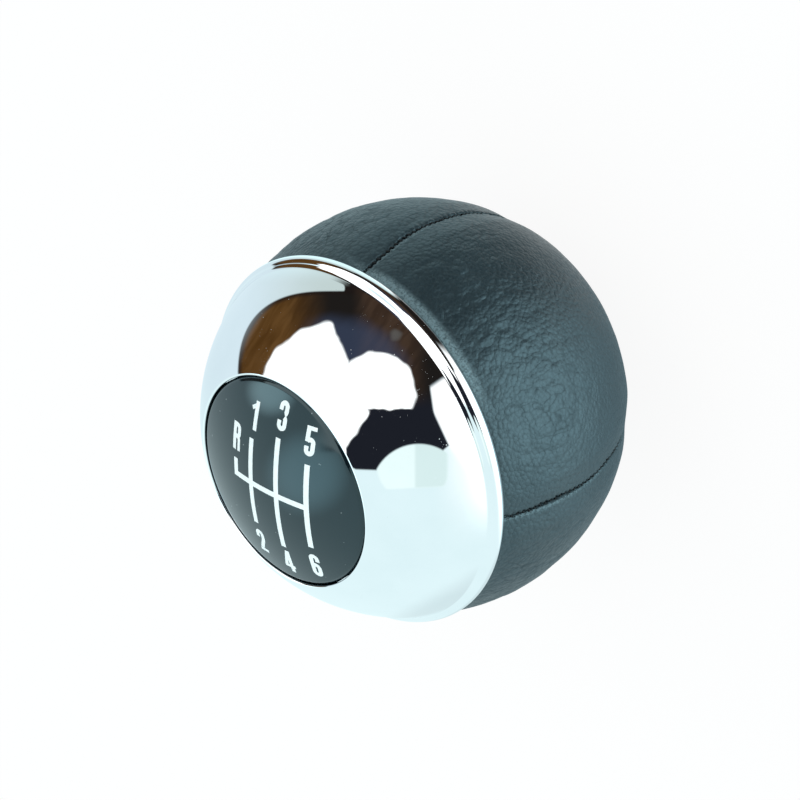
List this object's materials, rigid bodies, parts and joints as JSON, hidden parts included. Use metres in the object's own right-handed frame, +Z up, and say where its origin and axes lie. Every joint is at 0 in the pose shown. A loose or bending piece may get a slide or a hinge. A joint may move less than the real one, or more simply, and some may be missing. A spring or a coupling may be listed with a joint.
{
  "type": "gear shift knob",
  "caption": "Ball-shaped gear shift knob: sewn leather ball with a chromed dome cap, rim bead and domed gear pattern disc, pushed on a gear lever through the socket in its base.",
  "frame": {"origin": "centre of the lever socket's mouth, in the plane of the base collar that the knob stands on", "axes": "+Z up the lever towards the pattern disc, +Y forwards in the car (top of the gear pattern), +X to the right"},
  "size_m": [0.052, 0.052, 0.0494],
  "materials": {
    "gloss_black": "glossy black with white print",
    "adhesive": "foam tape",
    "chrome": "bright chrome plating",
    "steel": "bright steel",
    "core_plastic": "moulded",
    "sleeve_plastic": "moulded, natural",
    "collar_plastic": "fine grained",
    "leather": "pebbled, soft sheen"
  },
  "bodies": {
    "root": {"pattern_disc": "gloss_black", "disc_adhesive": "adhesive", "chrome_cap": "chrome", "cap_screws": "steel", "core_body": "core_plastic", "lever_sleeve": "sleeve_plastic", "grip_ring": "steel", "base_collar": "collar_plastic", "leather_front_right": "leather", "leather_front_left": "leather", "leather_rear_left": "leather", "leather_rear_right": "leather"}
  },
  "joints": []
}
